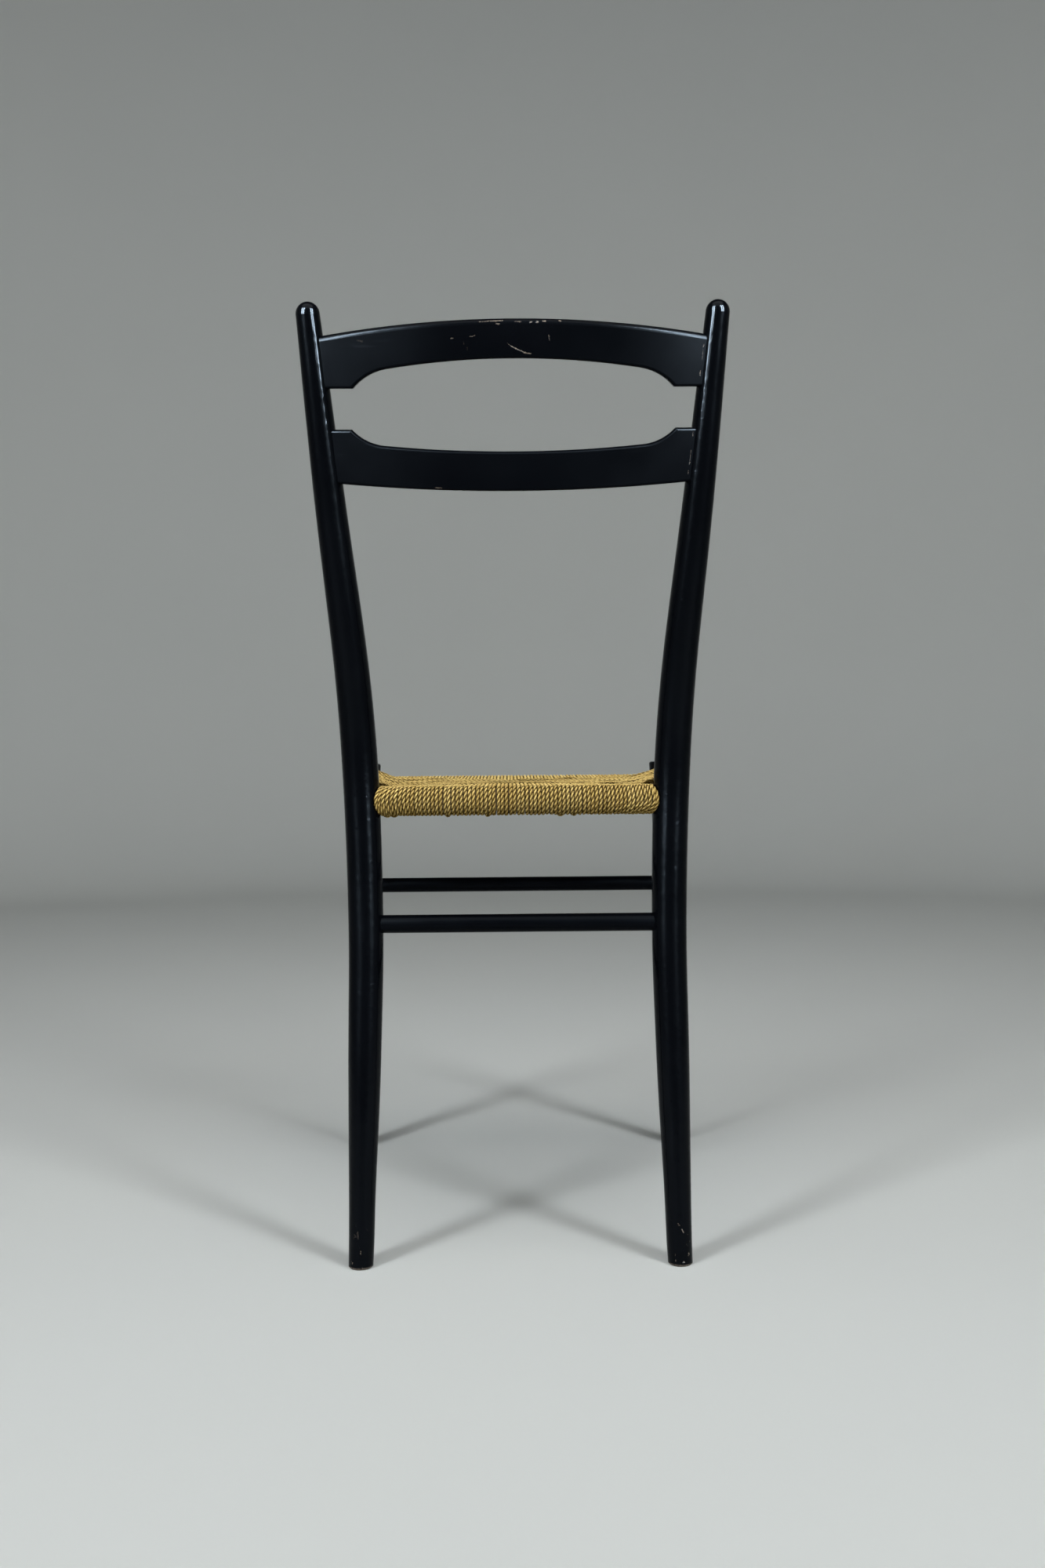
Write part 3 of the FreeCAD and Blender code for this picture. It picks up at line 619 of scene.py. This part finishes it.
def mesh_of(name, points, quads, ends):
    """A smooth mesh of quads and, after them, end caps with a corner for each point of a ring."""
    mesh = bpy.data.meshes.new(name)
    mesh.vertices.add(len(points))
    mesh.vertices.foreach_set("co", points.astype(np.float32).ravel())
    mesh.loops.add(quads.size + ends.size)
    mesh.loops.foreach_set("vertex_index", np.concatenate([quads.ravel(), ends.ravel()]).astype(np.int32))
    starts = np.concatenate([np.arange(len(quads)) * 4, quads.size + np.arange(len(ends)) * RING])
    mesh.polygons.add(len(starts))
    mesh.polygons.foreach_set("loop_start", starts.astype(np.int32))
    mesh.update(calc_edges=True)
    mesh.polygons.foreach_set("use_smooth", np.ones(len(starts), bool))
    return mesh


def add_layout(mesh, name, corners):
    """A layout for the quads. The end caps' corners stay at zero."""
    caps = np.zeros((len(mesh.loops) - len(corners), 2))
    mesh.uv_layers.new(name=name).data.foreach_set(
        "uv", np.concatenate([corners, caps]).astype(np.float32).ravel())


def add_values(mesh, name, values):
    mesh.attributes.new(name, "FLOAT", "POINT").data.foreach_set("value", values.astype(np.float32))


def cord_piece(name, paths, rail_way, rng):
    """Three-ply twisted cords along the paths, which lie side by side along rail_way."""
    profile, grooves = ply_profile()
    around = np.arange(RING)
    points, quads, ends, lay, tones, flanks, lengths = [], [], [], [], [], [], []
    base = 0
    start = rng.uniform(0, 2 * math.pi)
    for path in paths:
        rings = len(path)
        normal, binormal = carried_frame(path)
        along = distances(path)
        start += rng.normal(0, PHASE_DRIFT)
        phase = RING_ANGLES[None, :] + (along / CORD_LAY * 2 * math.pi + start)[:, None]
        size = 1 + wander(rng, along, THICKNESS_WAVE, THICKNESS_CHANGE)
        radius = profile[None, :] * size[:, None]
        outward = (np.cos(phase)[:, :, None] * normal[:, None, :]
                   + np.sin(phase)[:, :, None] * binormal[:, None, :])
        points.append((path[:, None, :] + radius[:, :, None] * outward).reshape(-1, 3))
        # How far each point faces the neighbouring turns; paper_cord paints shade there
        flanks.append(np.abs(outward @ np.array(rail_way)).ravel())
        ring, point = np.meshgrid(np.arange(rings - 1), around, indexing="ij")
        here = base + ring * RING + point
        beside = base + ring * RING + (point + 1) % RING
        quads.append(np.stack([here, beside, beside + RING, here + RING], axis=-1).reshape(-1, 4))
        ends += [base + around[::-1], base + (rings - 1) * RING + around]
        shift = rng.uniform(0, LAY_SHIFT)
        near, far = along[ring] + shift, along[ring + 1] + shift
        lay.append(quad_corners(near, far, point * RING_STEP, (point + 1) * RING_STEP))
        tones.append(np.full(rings * RING, rng.uniform(0, 1)))
        lengths.append(along)
        base += rings * RING
    mesh = mesh_of(name, np.concatenate(points), np.concatenate(quads), np.array(ends))
    add_layout(mesh, "lay", np.concatenate(lay))
    add_layout(mesh, "OFBake", bake_corners(lengths))
    add_values(mesh, "strand_tone", np.concatenate(tones))
    add_values(mesh, "groove", np.tile(grooves, base // RING))
    add_values(mesh, "flank", np.concatenate(flanks))
    mesh.validate()
    piece = bpy.data.objects.new(name, mesh)
    bpy.context.scene.collection.objects.link(piece)
    return piece


# Studio

def look_along(yaw, pitch, roll):
    """Rotation of a camera that looks towards -Y."""
    ahead = Vector((math.sin(yaw), -math.cos(yaw), 0))
    right = Vector((-math.cos(yaw), -math.sin(yaw), 0))
    up = Vector((0, 0, 1))
    tilted_ahead = math.cos(pitch) * ahead - math.sin(pitch) * up
    tilted_up = math.sin(pitch) * ahead + math.cos(pitch) * up
    rolled_right = math.cos(roll) * right + math.sin(roll) * tilted_up
    rolled_up = -math.sin(roll) * right + math.cos(roll) * tilted_up
    return Matrix((rolled_right, rolled_up, -tilted_ahead)).transposed()


def add_camera():
    data = bpy.data.cameras.new("camera")
    data.sensor_width = SENSOR_MM
    data.lens = SENSOR_MM * FOCAL_PIXELS / PHOTO_SIZE[1]
    data.clip_end = CLIP_END
    camera = bpy.data.objects.new("camera", data)
    camera.matrix_world = Matrix.Translation(CAMERA_PLACE) @ look_along(
        CAMERA_YAW, CAMERA_PITCH, CAMERA_ROLL).to_4x4()
    bpy.context.scene.collection.objects.link(camera)
    bpy.context.scene.camera = camera


def add_studio():
    """A round floor that curves up into a wall all round."""
    profile = [(FLOOR_RADIUS, 0.0)]
    for i in range(1, COVE_STEPS + 1):
        angle = math.radians(90 * i / COVE_STEPS)
        radius = FLOOR_RADIUS + COVE_RADIUS * math.sin(angle)
        profile.append((radius, COVE_RADIUS * (1 - math.cos(angle))))
    profile.append((FLOOR_RADIUS + COVE_RADIUS, WALL_HEIGHT))
    turns = [(k, (k + 1) % STUDIO_SIDES) for k in range(STUDIO_SIDES)]
    verts = [(0.0, 0.0, 0.0)]
    for radius, height in profile:
        for k, _ in turns:
            angle = 2 * math.pi * k / STUDIO_SIDES
            verts.append((radius * math.cos(angle), radius * math.sin(angle), height))
    faces = [(0, 1 + k, 1 + after) for k, after in turns]
    for row in range(len(profile) - 1):
        for k, after in turns:
            a, b = 1 + row * STUDIO_SIDES + k, 1 + row * STUDIO_SIDES + after
            faces.append((a, a + STUDIO_SIDES, b + STUDIO_SIDES, b))
    mesh = bpy.data.meshes.new("studio")
    mesh.from_pydata(verts, [], faces)
    mesh.polygons.foreach_set("use_smooth", [True] * len(faces))
    mesh.materials.append(studio_paint("studio_paint"))
    studio = bpy.data.objects.new("studio", mesh)
    bpy.context.scene.collection.objects.link(studio)


def add_lamp(name, place, target, size, power, colour=(1.0, 1.0, 1.0), spread=180, gloss_only=False):
    data = bpy.data.lights.new(name, "AREA")
    data.shape = "RECTANGLE"
    data.size, data.size_y = size
    data.energy = power
    data.color = colour
    data.spread = math.radians(spread)
    lamp = bpy.data.objects.new(name, data)
    lamp.location = place
    lamp.rotation_mode = "QUATERNION"
    lamp.rotation_quaternion = (Vector(target) - Vector(place)).to_track_quat("-Z", "Y")
    lamp.visible_camera = False
    lamp.visible_diffuse = not gloss_only
    bpy.context.scene.collection.objects.link(lamp)


def add_lights():
    """On each side behind the chair a softbox and a strip that only gloss shows, and light from above."""
    for name, side in (("left", 1), ("right", -1)):
        place = (side * SIDE_PLACE[0], *SIDE_PLACE[1:])
        add_lamp(name + "_softbox", place, SIDE_TARGET, SOFTBOX_SIZE, SOFTBOX_POWER,
                 SOFTBOX_COLOUR, SIDE_SPREAD)
        add_lamp(name + "_gloss_strip", place, SIDE_TARGET, STRIP_SIZE, STRIP_POWER,
                 STRIP_COLOUR, SIDE_SPREAD, gloss_only=True)
    add_lamp("overhead", OVERHEAD_PLACE, OVERHEAD_TARGET, OVERHEAD_SIZE, OVERHEAD_POWER)
    world = bpy.data.worlds.new("studio_light")
    world.use_nodes = True
    background = world.node_tree.nodes["Background"]
    background.inputs["Color"].default_value = ROOM_COLOUR
    background.inputs["Strength"].default_value = ROOM_LIGHT
    bpy.context.scene.world = world


# Wear, by pixel coordinates of the photograph: start, end, half width and strength, and the node it is on

CHIPS = {
    "crest_rail": (
        ((575.5, 431.5), (578, 431.5), 0.9, 0.25), ((599, 429.5), (606, 428), 0.6, 0.22),
        ((591, 436), (591.5, 439), 0.5, 0.08), ((596, 443), (596, 446), 0.5, 0.08),
        ((611, 410.5), (624, 409.5), 0.7, 0.35), ((626, 409.5), (641, 409), 1.0, 0.45),
        ((633, 412.5), (637, 413.5), 1.0, 0.35), ((657, 410), (664, 410), 0.8, 0.3),
        ((676, 411), (678, 410.5), 1.1, 0.6), ((685, 410.5), (686, 410.5), 1.3, 0.6),
        ((692.5, 409.5), (695, 409.5), 1.0, 0.5), ((713.5, 409), (715, 409.5), 1.2, 0.6),
        ((647, 437.5), (652, 441.5), 0.5, 0.25), ((651, 441), (662, 446.3), 0.7, 0.6),
        ((662, 446.3), (670, 449.5), 0.75, 0.5), ((668, 449.5), (677, 451), 0.8, 0.35),
        ((700, 427), (701, 434), 0.7, 0.25), ((456, 434), (462, 435.5), 1.2, 0.06),
        ((898, 439), (897.5, 442), 0.7, 0.5), ((897, 446), (896, 458), 0.5, 0.3),
        ((893.5, 473), (893, 478), 0.7, 0.4)),
    "lower_back_rail": (
        ((884, 551), (884, 556), 0.6, 0.35), ((881.5, 574), (879.5, 592), 0.45, 0.4),
        ((878, 600), (877.5, 604), 0.6, 0.35), ((556, 622.5), (563, 622.5), 1.0, 0.25)),
    "rear_post_left": (
        ((456, 1572), (457, 1580), 1.0, 0.10), ((452, 1575), (454, 1578), 0.9, 0.08)),
    "rear_post_right": (
        ((865, 1561), (867, 1563), 0.8, 0.3), ((870, 1568), (872, 1572), 0.8, 0.4),
        ((872, 1610), (873, 1610), 0.9, 0.6)),
}


def photo_ray(pixel):
    """The camera's ray through a pixel of the photograph."""
    turn = look_along(CAMERA_YAW, CAMERA_PITCH, CAMERA_ROLL)
    across, down = pixel[0] - PHOTO_SIZE[0] / 2, pixel[1] - PHOTO_SIZE[1] / 2
    return CAMERA_PLACE, (turn @ Vector((across, -down, -FOCAL_PIXELS))).normalized()


def chips_on(node):
    """The wear of one node, as lines on its surface with a half width and a strength."""
    tree = BVHTree.FromObject(nodes[node], bpy.context.evaluated_depsgraph_get())
    found = []
    for start, end, width, strength in CHIPS.get(node, ()):
        hits = [tree.ray_cast(*photo_ray(pixel)) for pixel in (start, end)]
        if all(hit[0] for hit in hits):
            distance = (hits[0][0] - CAMERA_PLACE).length
            found.append((hits[0][0], hits[1][0], width * distance / FOCAL_PIXELS, strength))
    return found


# The chair

def paint(node, material):
    """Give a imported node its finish."""
    mesh = nodes[node].data
    mesh.materials.clear()
    mesh.materials.append(material)


def dress_frame():
    beech_across = bare_wood("beech_across", BEECH_ACROSS_GRAIN)
    beech_fore_aft = bare_wood("beech_fore_aft", BEECH_FORE_AFT_GRAIN)
    black_across = lacquer("lacquer_across", ACROSS_GRAIN, SATIN)
    black_fore_aft = lacquer("lacquer_fore_aft", FORE_AFT_GRAIN, SATIN)
    black_leg = lacquer("lacquer_leg", UPRIGHT_GRAIN, GLOSS, worn_feet=True)
    card = board_card("grey_board")
    for name in nodes:
        if name.startswith("rear_post"):
            paint(name, lacquer("lacquer_" + name, UPRIGHT_GRAIN, GLOSS, chips_on(name), worn_feet=True))
        elif name.startswith("front_leg"):
            paint(name, black_leg)
        elif name in CHIPS:
            paint(name, lacquer("lacquer_" + name, ACROSS_GRAIN, SATIN, chips_on(name),
                                dusty_ledges=name == "lower_back_rail"))
        elif name.startswith("side_stretcher"):
            paint(name, black_fore_aft)
        elif name.endswith("_stretcher"):
            paint(name, black_across)
        elif name in ("seat_rail_back", "seat_rail_front"):
            paint(name, beech_across)
        elif name.startswith("seat_rail"):
            paint(name, beech_fore_aft)
        elif name.startswith("packing_card"):
            paint(name, card)
    paint("cord_tacks", tack_steel("tack_steel"))


def in_pieces(paths):
    """Split a panel's turns so that no piece has too many faces."""
    faces = np.cumsum([(len(path) - 1) * RING for path in paths])
    count = int(faces[-1] / PIECE_FACES) + 1
    groups = [[] for _ in range(count)]
    for path, so_far in zip(paths, faces):
        groups[min(int(so_far * count / (faces[-1] + 1)), count - 1)].append(path)
    return groups


def weave_seat():
    cord = paper_cord("paper_cord")
    rng = np.random.default_rng(SEED)
    across, fore_aft = (1, 0, 0), (0, 1, 0)
    back = end_turns(REAR_CORNER, BACK_APEX, 1, BACK_FAN, REAR_LEG_RADIUS, rng)
    front = end_turns(FRONT_CORNER, FRONT_APEX, -1, FRONT_FAN, FRONT_LEG_RADIUS, rng)
    left = side_turns(1, rng)
    right = side_turns(-1, rng)
    panels = (("seat_cord_back", back, across), ("seat_cord_front", front, across),
              ("seat_cord_left", left, fore_aft), ("seat_cord_right", right, fore_aft))
    made = [(node, f"{node}_wound_{i + 1}", paths, way)
            for node, turns, way in panels for i, paths in enumerate(in_pieces(turns))]
    made.append(("seat_cord_back", "seat_cord_back_joins", joins_under_back_rail(), fore_aft))
    for node, name, paths, way in made:
        piece = cord_piece(name, paths, way, rng)
        piece.data.materials.append(cord)
        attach(piece, "root")
        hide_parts(node)


dress_frame()
weave_seat()
add_studio()
add_camera()
add_lights()
bpy.context.scene.view_settings.view_transform = "Standard"
